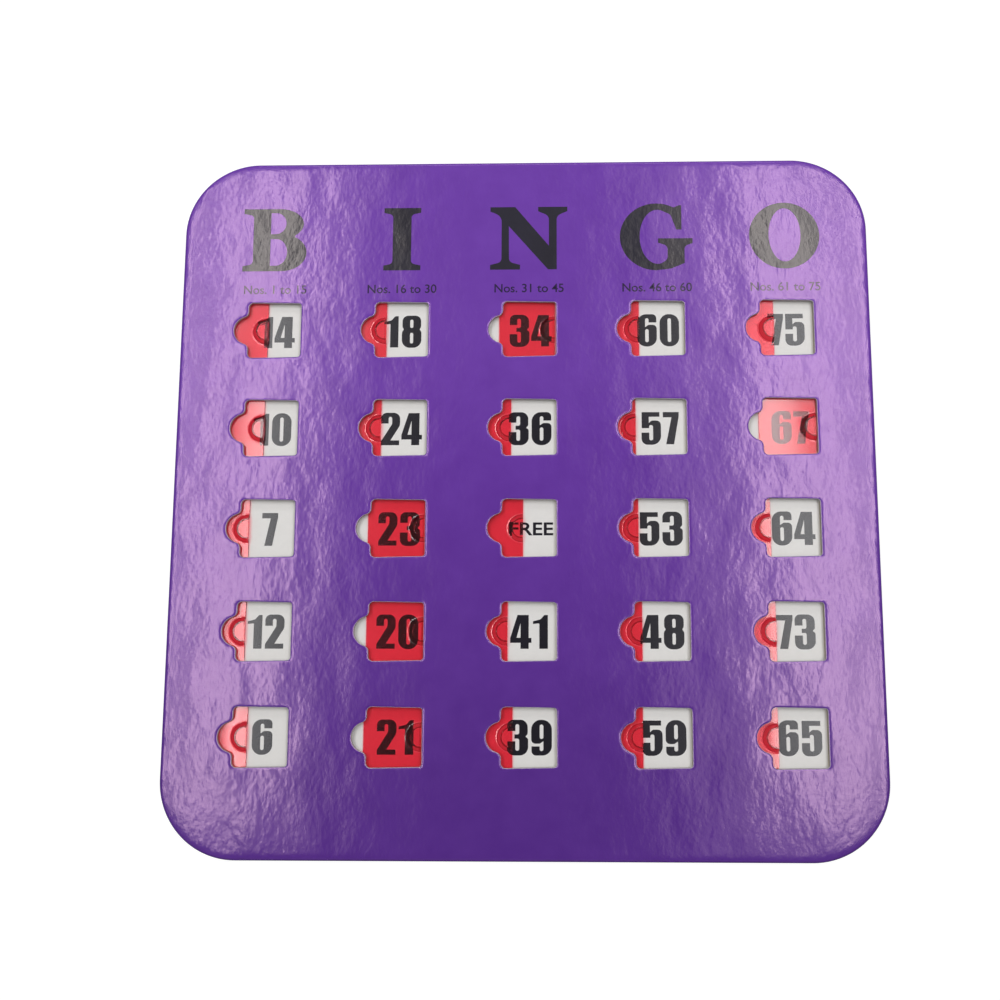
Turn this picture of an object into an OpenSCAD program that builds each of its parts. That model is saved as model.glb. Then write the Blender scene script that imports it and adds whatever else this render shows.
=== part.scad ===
// Square bingo card with a sliding shutter behind every window.
// Millimetres. The card lies face up: +Z up, +Y towards the heading, +X to the right.
// The origin is the middle of the card's underside.

/* [Card] */
// Side of the square card
card_side = 235; // [231:1:260]
// Radius of the card's four corners, seen from above
corner_r = 25.4; // [16:0.2:26]
// Radius of the rolled upper edge
edge_r = 1.2; // [0.8:0.1:1.5]
// Radius of the lower fold, where the cover turns under
fold_r = 0.6; // [0.5:0.05:0.8]
// Width of the strip of cover that is turned under the card
hem_w = 11; // [6:0.5:14]
// How far the back liner stays inside the card's edge
liner_inset = 2.5; // [1.5:0.5:5]

/* [Layers] */
// Printed cover paper with its gloss film
cover_t = 0.3; // [0.2:0.05:0.4]
// Board with the windows
board_t = 1.2; // [1.1:0.05:1.6]
// Spacers between the board and the number sheet
spacer_t = 0.9; // [0.85:0.05:1.4]
// Sheet with the numbers
sheet_t = 0.2; // [0.1:0.05:0.4]
// Stiff board at the back
back_t = 1.2; // [1:0.1:2]
// Thin liner that closes the back
liner_t = 0.2; // [0.1:0.05:0.4]

/* [Grid] */
// Share of the free width that lies to the left of the first column's channels
left_share = 0.0925; // [0.05:0.0025:0.15]
// Share of the free width between two columns' channels
column_share = 0.137; // [0.1:0.001:0.18]
// Share of the free height above the first row's channels, the room for the heading
top_share = 0.41; // [0.35:0.005:0.5]
// Share of the free height between two rows' channels
row_share = 0.09; // [0.07:0.001:0.12]

/* [Windows] */
// Width of a window without its thumb notch
window_w = 18.1; // [17:0.1:18.8]
// Height of a window at its plain end
window_h = 18.8; // [18.4:0.1:20]
// How much taller the window is at its notched end
window_flare = 0.6; // [0:0.1:1]
// Corner radius at the plain end
plain_corner_r = 1; // [0.5:0.1:1.8]
// Corner radius at the notched end
notched_corner_r = 1.6; // [0.5:0.1:1.8]
// Radius that blends the thumb notch into the window
notch_blend_r = 2; // [1:0.1:2.2]
// How far the cover's pressed lip stands back from the window's edge
lip_w = 0.25; // [0.1:0.05:0.4]

/* [Shutters] */
// Thickness of a shutter's plate
plate_t = 0.7; // [0.5:0.05:0.75]
// How far a shutter reaches under the board on each long side
side_overlap = 1.8; // [1:0.1:3]
// How far a closed shutter's tail reaches past the window
tail_overlap = 1; // [0.6:0.1:1.5]
// Corner radius of a shutter's plate
plate_corner_r = 0.6; // [0.3:0.1:1]
// Running gap beside a shutter, on each side
side_clear = 0.25; // [0.15:0.05:0.4]
// Gap left at each end of a shutter's run
stop_clear = 0.1; // [0.05:0.05:0.3]

/* [Thumb grips] */
// Radius of a grip where it rises from the plate
grip_r = 4.7; // [4:0.1:4.9]
// Radius of a grip at its crest
crest_r = 3.3; // [3:0.1:3.5]
// Height of the crest above the plate
grip_h = 1.1; // [0.8:0.05:1.15]
// Distance from the grip's centre to the shutter's front edge
grip_inset = 0.5; // [0.2:0.1:1]
// Width of the crest round the sunken pad
crest_w = 0.3; // [0.2:0.05:0.5]
// Depth of the sunken pad
pad_depth = 0.25; // [0.1:0.05:0.4]
// Wall left over the hollow under a grip
grip_wall = 0.6; // [0.4:0.05:0.7]
// Gap between a grip and the side of the thumb notch
notch_clear = 0.2; // [0.15:0.05:0.4]
// Gap between a fully open shutter's grip and the end of the notch
park_gap = 0.5; // [0.2:0.1:1]

/* [Hidden] */
$fn = 64;
// Overrun of the cuts past the faces they open
cut = 1;
// Small overlap that makes two touching curves cross
bite = 0.002;
column_letters = ["b", "i", "n", "g", "o"];
// How far each shutter stands open in the photographed card, row by row from the top
open_shares = [
  [0.67, 0.83, 0.02, 0.89, 0.77],
  [0.68, 0.90, 0.88, 0.98, 0.01],
  [0.90, 0.01, 0.64, 0.95, 0.95],
  [0.90, 0.00, 0.93, 0.90, 0.90],
  [0.79, 0.01, 0.83, 0.91, 0.92]
];
columns = len(column_letters);
rows = len(open_shares);

// Heights of the layers, from the underside up
hem_z = liner_t;
sheet_z = liner_t + back_t;
spacer_z = sheet_z + sheet_t;
board_z = spacer_z + spacer_t;
cover_z = board_z + board_t;
card_t = cover_z + cover_t;

// Window and notch
notch_r = grip_r + notch_clear;
cell_w = window_w + notch_r;
tall_h = window_h + window_flare;

// Shutter, its run and its channel
plate_len = window_w + tail_overlap - stop_clear;
plate_h = tall_h + 2 * side_overlap;
travel = cell_w - park_gap - grip_r - grip_inset - stop_clear;
channel_len = plate_len + travel + 2 * stop_clear;
channel_h = plate_h + 2 * side_clear;
plate_z = spacer_z + (spacer_t - plate_t) / 2;

// What the channels leave of the card's width and height, and the pitches that follow from it
free_w = card_side - columns * channel_len;
free_h = card_side - rows * channel_h;
column_pitch = channel_len + column_share * free_w;
row_pitch = channel_h + row_share * free_h;

// Right edge of a column's windows, middle of a row, and front edge of a shutter
function window_x(c) = left_share * free_w + channel_len - card_side / 2 + c * column_pitch;
function window_y(r) = card_side / 2 - top_share * free_h - channel_h / 2 - r * row_pitch;
function shutter_x(r, c) = window_x(c) - stop_clear - open_shares[r][c] * travel;

// Names of the sub-parts
function shutter_name(r, c) = str("shutter_", column_letters[c], r + 1);
function rail_name(i) = str("spacer_rail_", i + 1);
function column_name(i) = str("spacer_column_", i + 1);

// Outline of the card, drawn in by a margin
module card_outline(inset = 0) {
  straight = card_side - 2 * corner_r;
  full = card_side - 2 * inset;
  square([full, straight], center = true);
  square([straight, full], center = true);
  for (x = [-1, 1], y = [-1, 1])
    translate([x * straight / 2, y * straight / 2]) circle(r = corner_r - inset);
}

// Section through the card's rim, from the corner's centre outwards, drawn in by a margin
module rim_section(inset = 0) {
  reach = corner_r - inset;
  low = hem_z + inset;
  high = card_t - inset;
  top_r = edge_r - inset;
  low_r = fold_r - inset;
  translate([0, low]) square([reach - low_r, high - low]);
  translate([0, low + low_r]) square([reach, high - top_r - low - low_r]);
  translate([0, low]) square([reach - top_r, high - low]);
  translate([reach - low_r, low + low_r]) circle(r = low_r);
  translate([reach - top_r, high - top_r]) circle(r = top_r);
}

// Sweeps a rim section round the card's four corners and sides
module round_the_rim() {
  straight = card_side - 2 * corner_r;
  for (turn = [0 : 90 : 270])
    rotate(turn) {
      translate([straight / 2, straight / 2, 0]) rotate_extrude(angle = 90) children();
      translate([straight / 2, straight / 2, 0])
        rotate([90, 0, 0]) linear_extrude(straight) children();
    }
}

// The card's full body with its rolled edges, drawn in by a margin
module card_body(inset = 0) {
  straight = card_side - 2 * corner_r;
  round_the_rim() rim_section(inset);
  translate([0, 0, hem_z + inset])
    linear_extrude(card_t - hem_z - 2 * inset) square(straight, center = true);
}

// One layer of the card between two heights, inside the cover
module layer(low, high) {
  intersection() {
    card_body(cover_t);
    translate([0, 0, low]) linear_extrude(high - low) square(card_side, center = true);
  }
}

// Points where the common tangent of two circles touches them, on the right of the way from a to b
function tangent_points(a, ra, b, rb) =
  let (
    way = b - a,
    turn = atan2(way[1], way[0]) - acos((ra - rb) / norm(way)),
    out = [cos(turn), sin(turn)]
  )
  [a + ra * out, b + rb * out];

// Outline of one window with its thumb notch, widened by a margin.
// Its origin is the middle of the plain right edge.
module window_outline(grow = 0) {
  near_r = plain_corner_r + grow;
  far_r = notched_corner_r + grow;
  near_x = grow - near_r;
  far_x = far_r - window_w - grow;
  near_y = window_h / 2 + grow - near_r;
  far_y = tall_h / 2 + grow - far_r;
  corners = [[near_x, -near_y], [near_x, near_y], [far_x, far_y], [far_x, -far_y]];
  radii = [near_r, near_r, far_r, far_r];
  polygon([for (i = [0 : 3]) let (k = (i + 1) % 4)
    each tangent_points(corners[i], radii[i] - bite, corners[k], radii[k] - bite)]);
  for (i = [0 : 3])
    translate(corners[i]) circle(r = radii[i]);
  thumb_notch(grow);
}

// The round notch at a window's left edge and its two blends
module thumb_notch(grow = 0) {
  r = notch_r + grow;
  blend = notch_blend_r - grow;
  middle = -window_w;
  blend_x = 2 * bite - grow - window_w - blend;
  blend_y = sqrt((r + blend - bite) ^ 2 - (blend_x - middle) ^ 2);
  inner_x = middle + r;
  translate([middle, 0]) circle(r = r);
  for (side = [-1, 1])
    difference() {
      polygon([[middle, 0], [inner_x, 0], [inner_x, side * blend_y], [blend_x, side * blend_y]]);
      translate([blend_x, side * blend_y]) circle(r = blend);
    }
}

// Every window of the card
module all_windows(grow = 0) {
  for (r = [0 : rows - 1], c = [0 : columns - 1])
    translate([window_x(c), window_y(r)]) window_outline(grow);
}

// Printed cover: top sheet, rolled edge, skirt and hem in one piece
module cover_wrap() {
  color("#6A3FA0")
  difference() {
    card_body();
    card_body(cover_t);
    translate([0, 0, -cut]) linear_extrude(hem_z + cover_t + 2 * cut) card_outline(hem_w);
    translate([0, 0, cover_z - cut]) linear_extrude(cover_t + 2 * cut) all_windows();
    translate([0, 0, cover_z + cover_t / 2]) linear_extrude(cover_t + cut) all_windows(lip_w);
  }
}

// Thick board with the windows
module window_board() {
  color("#A9A39B")
  difference() {
    layer(board_z, cover_z);
    translate([0, 0, board_z - cut]) linear_extrude(board_t + 2 * cut) all_windows();
  }
}

// Sheet that carries the numbers
module number_sheet() {
  color("#DEDCD6")
  translate([0, 0, sheet_z]) linear_extrude(sheet_t) card_outline(cover_t);
}

// Stiff back, pressed thinner round its rim to take the cover's hem
module back_board() {
  color("#8F877D") {
    layer(hem_z + cover_t, sheet_z);
    translate([0, 0, hem_z]) linear_extrude(cover_t) card_outline(hem_w);
  }
}

// Thin liner over the back and the hem
module back_liner() {
  color("#4A4A52")
  linear_extrude(liner_t) card_outline(liner_inset);
}

// Spacer rail that runs from edge to edge between two rows of channels
module spacer_rail(i) {
  low = i == rows ? -card_side / 2 : window_y(i) + channel_h / 2;
  high = i == 0 ? card_side / 2 : window_y(i - 1) - channel_h / 2;
  color("#B5A48B")
  translate([0, 0, spacer_z]) linear_extrude(spacer_t)
    intersection() {
      card_outline(cover_t);
      translate([-card_side / 2, low]) square([card_side, high - low]);
    }
}

// Spacer blocks that close the channels' ends between two columns, one in each row
module spacer_column(i) {
  left = i == 0 ? -card_side / 2 : window_x(i - 1);
  right = i == columns ? card_side / 2 : window_x(i) - channel_len;
  color("#B5A48B")
  translate([0, 0, spacer_z]) linear_extrude(spacer_t)
    intersection() {
      card_outline(cover_t);
      for (r = [0 : rows - 1])
        translate([left, window_y(r) - channel_h / 2]) square([right - left, channel_h]);
    }
}

// Outline of a shutter's plate. Its origin is the middle of the front edge, on the right.
module plate_outline() {
  r = plate_corner_r;
  translate([-plate_len, r - plate_h / 2]) square([plate_len, plate_h - 2 * r]);
  translate([r - plate_len, -plate_h / 2]) square([plate_len - 2 * r, plate_h]);
  for (x = [-r, r - plate_len], y = [-1, 1])
    translate([x, y * (plate_h / 2 - r)]) circle(r = r);
}

// Half section of the thumb grip, from its centre outwards, with its sloped side and sunken pad
module grip_section() {
  top = plate_t + grip_h;
  pad_r = crest_r - crest_w;
  polygon([
    [0, 0],
    [grip_r, 0],
    [grip_r, plate_t],
    [crest_r, top],
    [pad_r, top],
    [pad_r, top - pad_depth],
    [0, top - pad_depth]
  ]);
}

// Half section of the hollow moulded under the grip, which leaves an even wall
module hollow_section() {
  ceiling = plate_t + grip_h - pad_depth - grip_wall;
  slope = (grip_r - crest_r) / grip_h;
  foot_r = grip_r - grip_wall;
  polygon([
    [0, -cut],
    [foot_r, -cut],
    [foot_r, 0],
    [foot_r - slope * ceiling, ceiling],
    [0, ceiling]
  ]);
}

// Turns a half section into a half-round form with a straight run towards the front edge
module half_round(run) {
  translate([-grip_inset, 0, 0]) {
    rotate(90) rotate_extrude(angle = 180) children();
    for (side = [0, 1])
      mirror([0, side, 0]) rotate([90, 0, 90]) linear_extrude(run) children();
  }
}

// One shutter: a flat plate with a hollow half-round thumb grip at its front edge
module shutter_blank() {
  difference() {
    union() {
      linear_extrude(plate_t) plate_outline();
      half_round(grip_inset) grip_section();
    }
    difference() {
      half_round(grip_inset + cut) hollow_section();
      translate([-grip_wall, -plate_h / 2, -2 * cut]) cube([2 * plate_h, plate_h, 2 * plate_h]);
    }
  }
}

// The shutter of one window, at its photographed place
module shutter(r, c) {
  color("#E8303F", 0.8)
  translate([shutter_x(r, c), window_y(r), plate_z]) shutter_blank();
}

cover_wrap();
window_board();
number_sheet();
back_board();
back_liner();
for (i = [0 : rows])
  spacer_rail(i);
for (i = [0 : columns])
  spacer_column(i);
for (r = [0 : rows - 1], c = [0 : columns - 1])
  shutter(r, c);
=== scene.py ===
"""Looks of a square bingo card: laminated board, glossy printed cover, twenty-five shutters.

Sizes are in millimetres and become metres where a mesh is made. The places of the windows and
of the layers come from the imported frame, so the looks follow the construction.
"""

import math
import random

import bmesh
import bpy
from mathutils import Matrix, Vector


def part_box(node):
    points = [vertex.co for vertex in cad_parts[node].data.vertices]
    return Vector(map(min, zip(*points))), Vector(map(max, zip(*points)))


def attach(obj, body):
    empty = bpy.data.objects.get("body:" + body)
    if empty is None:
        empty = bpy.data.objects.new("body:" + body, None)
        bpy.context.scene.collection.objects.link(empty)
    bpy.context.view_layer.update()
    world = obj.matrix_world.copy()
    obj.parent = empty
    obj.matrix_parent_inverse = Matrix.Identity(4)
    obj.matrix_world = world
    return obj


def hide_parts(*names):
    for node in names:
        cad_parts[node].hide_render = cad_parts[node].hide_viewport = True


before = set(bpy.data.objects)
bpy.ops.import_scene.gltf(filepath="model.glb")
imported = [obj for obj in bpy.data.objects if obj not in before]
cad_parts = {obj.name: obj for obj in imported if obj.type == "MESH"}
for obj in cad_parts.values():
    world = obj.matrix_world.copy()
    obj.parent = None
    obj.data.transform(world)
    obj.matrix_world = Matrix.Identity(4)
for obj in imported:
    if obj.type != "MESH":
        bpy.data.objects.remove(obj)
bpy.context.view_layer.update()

MM = 0.001
COLUMNS = "bingo"
ROWS = range(1, 6)


def node_box(name):
    """Lowest and highest corner of a construction piece, in millimetres."""
    low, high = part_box(name)
    return low / MM, high / MM


# Layers and outline, read from the frame
SHEET_TOP = node_box("number_sheet")[1].z
BOARD_TOP = node_box("window_board")[1].z
CARD_TOP = node_box("cover_wrap")[1].z
HEM_Z = node_box("cover_wrap")[0].z
HALF_SIDE = node_box("cover_wrap")[1].x
WINDOW_X = [node_box(f"spacer_column_{i + 2}")[0].x for i in range(5)]
WINDOW_Y = [(node_box(f"shutter_b{r}")[0].y + node_box(f"shutter_b{r}")[1].y) / 2 for r in ROWS]

# Heights on the card between which painted light makes the purple lighter toward the heading
PAINTED_LIGHT_Y = (-90, 45)

# The card's rim
CORNER_R = 25.4
CORNER_STEPS = 54
EDGE_R = 1.2
FOLD_R = 0.6
COVER_T = 0.3
HEM_W = 11

# One window, from the middle of its plain right edge
WINDOW_W = 18.1
PLAIN_H = 18.8
TALL_H = 19.4
PLAIN_CORNER_R = 1.0
NOTCHED_CORNER_R = 1.6
NOTCH_R = 4.9
NOTCH_BLEND_R = 2.0

# One shutter, from the middle of its front edge
PLATE_LEN = 19.0
PLATE_H = 23.0
PLATE_T = 0.7
PLATE_CORNER_R = 0.6
GRIP_R = 4.7
CREST_R = 3.3
GRIP_H = 1.1
GRIP_INSET = 0.5
CREST_W = 0.3
PAD_DEPTH = 0.25
GRIP_WALL = 0.6
FOOT_BLEND_R = 0.7
FOOT_RING_W = 0.32
FOOT_RING_TURN = math.radians(9)
FOOT_FILLET_R = 0.35
# Shares on the ramp of the plastic's colour, which paints light and shade on the grip. The plate keeps
# its own red, 0 is a painted highlight along the pale line round the grip, and 1 is painted shade where
# the side meets the foot and the crest; the painted shade deepens from 0.6 up.
UNPAINTED_SHARE = 0.5
PAINTED_SHADE_FROM = 0.6
FLANK_PAINTED_SHADE = 0.8


# Small helpers


def linear(hex_colour, alpha=1.0):
    """An sRGB hex value as the linear colour that the shaders take."""
    parts = [int(hex_colour[i : i + 2], 16) / 255 for i in (1, 3, 5)]
    return [c / 12.92 if c <= 0.04045 else ((c + 0.055) / 1.055) ** 2.4 for c in parts] + [alpha]


def add_node(tree, kind, settings=None, **links):
    """Adds a node. Settings are attributes or input values, links are sockets to join."""
    made = tree.nodes.new(kind)
    for key, value in (settings or {}).items():
        if isinstance(key, str) and hasattr(made, key):
            setattr(made, key, value)
        else:
            made.inputs[key].default_value = value
    for key, socket in links.items():
        index = int(key[1:]) if key[0] == "i" and key[1:].isdigit() else key.replace("_", " ")
        tree.links.new(socket, made.inputs[index])
    return made


def new_material(name):
    """An empty node material with its Principled shader and output."""
    material = bpy.data.materials.new(name)
    material.use_nodes = True
    tree = material.node_tree
    tree.nodes.clear()
    shader = add_node(tree, "ShaderNodeBsdfPrincipled")
    add_node(tree, "ShaderNodeOutputMaterial", Surface=shader.outputs["BSDF"])
    return material, tree, shader


def object_noise(tree, period, detail=2.0, rough=0.5):
    """Noise on object coordinates whose features have the given size in millimetres, by axis."""
    place = add_node(tree, "ShaderNodeTexCoord").outputs["Object"]
    scale = [1 / (p * MM) for p in period]
    mapped = add_node(tree, "ShaderNodeMapping", {"Scale": scale}, Vector=place)
    settings = {"Scale": 1.0, "Detail": detail, "Roughness": rough}
    noise = add_node(tree, "ShaderNodeTexNoise", settings, Vector=mapped.outputs["Vector"])
    return noise.outputs["Fac"]


def colour_ramp(tree, factor, stops):
    """A ramp through the given (position, hex colour) stops."""
    ramp = add_node(tree, "ShaderNodeValToRGB", Fac=factor)
    elements = ramp.color_ramp.elements
    while len(elements) < len(stops):
        elements.new(0.5)
    for element, (position, hex_colour) in zip(elements, stops):
        element.position = position
        element.color = linear(hex_colour)
    return ramp.outputs["Color"]


def bump(tree, height, depth, normal=None):
    """A bump of the given depth in millimetres."""
    links = {"Height": height}
    if normal:
        links["Normal"] = normal
    made = add_node(tree, "ShaderNodeBump", {"Strength": 1.0, "Distance": depth * MM}, **links)
    return made.outputs["Normal"]


# Materials. A pattern's size is the width of its features along x, y and z, and its depth is the
# height of its bumps, both in millimetres.

INK_MOTTLE = (9, 9, 9)
FILM_RIPPLE = (1.8, 2.9, 2.4)
FILM_RIPPLE_DEPTH = 0.063
BOARD_WAVES = (13, 22, 18)
BOARD_WAVES_DEPTH = 0.34
TORN_FIBRES = (0.35, 0.35, 0.35)
BARE_PAPER = "#CFC6D6"
BOARD_FIBRES = (0.9, 0.9, 0.25)
BOARD_FIBRES_DEPTH = 0.03
PAPER_CLOUD = (2.5, 2.5, 2.5)
PAPER_TOOTH = (0.3, 0.3, 0.3)
PAPER_TOOTH_DEPTH = 0.002
PLATE_WARP = (11, 11, 11)
PLATE_WARP_DEPTH = 0.008
FLOW_MARKS = (0.8, 1.6, 0.8)
FLOW_MARKS_DEPTH = 0.0008


def lighter_toward_heading(tree, colour, lighter):
    """Painted light: the second colour takes over from the first along the card's height."""
    place = add_node(tree, "ShaderNodeTexCoord").outputs["Object"]
    along = add_node(tree, "ShaderNodeSeparateXYZ", Vector=place).outputs["Y"]
    settings = {"From Min": PAINTED_LIGHT_Y[0] * MM, "From Max": PAINTED_LIGHT_Y[1] * MM}
    share = add_node(tree, "ShaderNodeMapRange", settings, Value=along).outputs["Result"]
    mix = add_node(tree, "ShaderNodeMix", {"data_type": "RGBA"}, i0=share, i6=colour, i7=lighter)
    return mix.outputs[2]


def bare_at_cut_edge(tree, colour):
    """Bare paper takes over from the ink at a window's cut edge, with a ragged border."""
    cut = add_node(tree, "ShaderNodeAttribute", {"attribute_name": "cut_edge"}).outputs["Fac"]
    fibres = object_noise(tree, TORN_FIBRES, 2)
    ragged = add_node(tree, "ShaderNodeMath", {"operation": "MULTIPLY_ADD", 1: 0.9, 2: -0.45}, i0=fibres)
    torn = add_node(tree, "ShaderNodeMath", {"operation": "ADD"}, i0=cut, i1=ragged.outputs[0])
    border = {"From Min": 0.45, "From Max": 0.6}
    bare = add_node(tree, "ShaderNodeMapRange", border, Value=torn.outputs[0]).outputs["Result"]
    settings = {"data_type": "RGBA", 7: linear(BARE_PAPER)}
    return add_node(tree, "ShaderNodeMix", settings, i0=bare, i6=colour).outputs[2]


def glossy_film_over(name, stops, sheen_hex, painted_light_stops=None, mirror=0.95, with_cut_edge=False):
    """Offset-printed art paper under a clear polypropylene film.

    The film was hot-laminated, so it has a fine ripple drawn out along the web: lamps break up
    in it into streaks. Broad waves of the board show under it. The sheen tints the glare, as
    strong purple ink does, with its slightly coppery bloom. Both faces of the film mirror, so
    it mirrors more than one clear coat would, and less over solid black, where the ink is thick.
    The purple is painted a little lighter toward the heading, as painted light for the stronger light
    there.
    """
    material, tree, shader = new_material(name)
    mottle = object_noise(tree, INK_MOTTLE, 3)
    colour = colour_ramp(tree, mottle, stops)
    # Painted light: a lighter purple toward the heading
    if painted_light_stops:
        colour = lighter_toward_heading(tree, colour, colour_ramp(tree, mottle, painted_light_stops))
    ripple = object_noise(tree, FILM_RIPPLE, 2.3, 0.55)
    waves = object_noise(tree, BOARD_WAVES, 1.5)
    normal = bump(tree, waves, BOARD_WAVES_DEPTH)
    normal = bump(tree, ripple, FILM_RIPPLE_DEPTH, normal)
    if with_cut_edge:
        colour = bare_at_cut_edge(tree, colour)
    tree.links.new(colour, shader.inputs["Base Color"])
    tree.links.new(normal, shader.inputs["Normal"])
    shader.inputs["Roughness"].default_value = 0.155
    shader.inputs["Specular IOR Level"].default_value = mirror
    shader.inputs["Specular Tint"].default_value = linear(sheen_hex)
    shader.inputs["IOR"].default_value = 1.5
    return material


def grey_board(name, stops):
    """Recycled grey board, die-cut: short fibres in dull greys, with no gloss."""
    material, tree, shader = new_material(name)
    fibres = object_noise(tree, BOARD_FIBRES, 4, 0.7)
    tree.links.new(colour_ramp(tree, fibres, stops), shader.inputs["Base Color"])
    tree.links.new(bump(tree, fibres, BOARD_FIBRES_DEPTH), shader.inputs["Normal"])
    shader.inputs["Roughness"].default_value = 0.9
    return material


def coated_paper(name, stops, rough):
    """Machine-coated white paper: nearly even, with a faint cloudiness and a soft satin."""
    material, tree, shader = new_material(name)
    cloud = object_noise(tree, PAPER_CLOUD, 5, 0.65)
    tree.links.new(colour_ramp(tree, cloud, stops), shader.inputs["Base Color"])
    tooth = object_noise(tree, PAPER_TOOTH, 3)
    tree.links.new(bump(tree, tooth, PAPER_TOOTH_DEPTH), shader.inputs["Normal"])
    shader.inputs["Roughness"].default_value = rough
    return material


def bow_height(tree):
    """Height, in millimetres, of a plate that leans and bows a little along its length, for a bump: only
    the shading leans.
    """
    along, lean, half_bow = [
        add_node(tree, "ShaderNodeAttribute", {"attribute_name": name}).outputs["Fac"]
        for name in ("along", "lean", "half_bow")]
    slope = add_node(tree, "ShaderNodeMath", {"operation": "MULTIPLY_ADD"},
                     i0=along, i1=half_bow, i2=lean)
    height = add_node(tree, "ShaderNodeMath", {"operation": "MULTIPLY"}, i0=along, i1=slope.outputs[0])
    return height.outputs[0]


def tinted_polystyrene(name, painted_highlight_hex, clear_hex, painted_shade_hex, shadow_hex):
    """Injection-moulded clear polystyrene, dyed red: glassy, with faint flow marks and warp.

    A painted highlight makes it pale along the fine line round the grip's foot, and painted shade makes
    it darker on the grip's sloped side, most of all at its two bends. Lamps reach the sheet below
    through it, so shadow rays pass through a tint instead.
    """
    material, tree, shader = new_material(name)
    warp = object_noise(tree, PLATE_WARP, 0)
    flow = object_noise(tree, FLOW_MARKS, 2)
    normal = bump(tree, bow_height(tree), 1.0)
    normal = bump(tree, warp, PLATE_WARP_DEPTH, normal)
    normal = bump(tree, flow, FLOW_MARKS_DEPTH, normal)
    tree.links.new(normal, shader.inputs["Normal"])
    # Painted light: this share picks a painted highlight, the plastic's own red or painted shade.
    depth = add_node(tree, "ShaderNodeAttribute", {"attribute_name": "painted_light_share"}).outputs["Fac"]
    stops = [(0.0, painted_highlight_hex), (UNPAINTED_SHARE, clear_hex), (PAINTED_SHADE_FROM, clear_hex), (1.0, painted_shade_hex)]
    tree.links.new(colour_ramp(tree, depth, stops), shader.inputs["Base Color"])
    shader.inputs["Roughness"].default_value = 0.1
    shader.inputs["IOR"].default_value = 1.57
    shader.inputs["Transmission Weight"].default_value = 1.0
    passing = add_node(tree, "ShaderNodeBsdfTransparent", {"Color": linear(shadow_hex)})
    path = add_node(tree, "ShaderNodeLightPath")
    lamps = add_node(tree, "ShaderNodeMath", {"operation": "MAXIMUM"},
                     i0=path.outputs["Is Shadow Ray"], i1=path.outputs["Is Diffuse Ray"])
    mixed = add_node(tree, "ShaderNodeMixShader", Fac=lamps.outputs[0],
                     i1=shader.outputs["BSDF"], i2=passing.outputs["BSDF"])
    output = next(n for n in tree.nodes if n.type == "OUTPUT_MATERIAL")
    tree.links.new(mixed.outputs["Shader"], output.inputs["Surface"])
    return material


# The second stops are painted light, a lighter purple toward the heading.
purple_print = glossy_film_over(
    "laminated purple print", [(0.3, "#5A2C94"), (0.7, "#60329A")], "#FFD6EE",
    [(0.3, "#6E39B0"), (0.7, "#743FB7")], with_cut_edge=True)
heading_ink = glossy_film_over(
    "black heading ink under film", [(0.3, "#252431"), (0.7, "#2B2A39")], "#FFF5EE", mirror=0.6)
caption_ink = glossy_film_over(
    "overprinted caption ink under film", [(0.3, "#241A40"), (0.7, "#2A1F48")], "#FFE8EE", mirror=0.7)
window_edge = grey_board("die-cut grey board edge", [(0.3, "#918C8E"), (0.7, "#B8B1B0")])
spacer_stock = grey_board("spacer board", [(0.3, "#9A8B74"), (0.7, "#BDAE95")])
back_stock = grey_board("back board", [(0.3, "#7E766C"), (0.7, "#978F84")])
sheet_paper = coated_paper("coated white paper", [(0.3, "#ECEAE7"), (0.7, "#F0EEEB")], 0.45)
liner_paper = coated_paper("dyed liner paper", [(0.3, "#404048"), (0.7, "#4C4C55")], 0.7)
number_ink = coated_paper("black number ink", [(0.3, "#17151E"), (0.7, "#1F1C27")], 0.2)
fibre_paper = coated_paper("torn paper fibres", [(0.3, "#E2DDE2"), (0.7, "#F1EEF0")], 0.8)
# The first colour is a painted highlight for the grip's foot line, the third painted shade for the
# grip's sloped side and bends.
shutter_plastic = tinted_polystyrene("red dyed polystyrene", "#FFC4CA", "#FF8494", "#7C0E1E", "#FFA2B2")


# Outlines


def arc(centre, radius, start, end, steps):
    """Points on an arc with their outward directions, in degrees, both ends included."""
    made = []
    for i in range(steps + 1):
        a = math.radians(start + (end - start) * i / steps)
        out = Vector((math.cos(a), math.sin(a)))
        made.append((Vector(centre) + out * radius, out))
    return made


def tangent_turn(a, radius_a, b, radius_b):
    """Direction, in degrees, of the common tangent's normal, on the right of the way from a to b."""
    way = Vector(b) - Vector(a)
    return math.degrees(math.atan2(way.y, way.x) - math.acos((radius_a - radius_b) / way.length))


def window_outline():
    """One window's edge, anticlockwise, as points with the direction away from the window."""
    near_x, near_y = -PLAIN_CORNER_R, PLAIN_H / 2 - PLAIN_CORNER_R
    far_x, far_y = NOTCHED_CORNER_R - WINDOW_W, TALL_H / 2 - NOTCHED_CORNER_R
    slope = tangent_turn((near_x, near_y), PLAIN_CORNER_R, (far_x, far_y), NOTCHED_CORNER_R) % 360
    blend_x = -WINDOW_W - NOTCH_BLEND_R
    blend_y = math.sqrt((NOTCH_R + NOTCH_BLEND_R) ** 2 - NOTCH_BLEND_R ** 2)
    lean = math.degrees(math.atan2(blend_y, NOTCH_BLEND_R))
    upper = arc((near_x, near_y), PLAIN_CORNER_R, 0, slope, 8)
    upper += arc((far_x, far_y), NOTCHED_CORNER_R, slope, 180, 8)
    upper += [(p, -out) for p, out in arc((blend_x, blend_y), NOTCH_BLEND_R, 0, -lean, 10)]
    notch = arc((-WINDOW_W, 0), NOTCH_R, 180 - lean, 180 + lean, 32)[1:-1]
    lower = [(Vector((p.x, -p.y)), Vector((out.x, -out.y))) for p, out in reversed(upper)]
    return upper + notch + lower


def window_ring(outline, column, row, out, z):
    """One window's edge drawn outwards by a distance, at a height."""
    shift = Vector((WINDOW_X[column], WINDOW_Y[row]))
    return [(*(point + shift + away * out), z) for point, away in outline]


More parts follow.
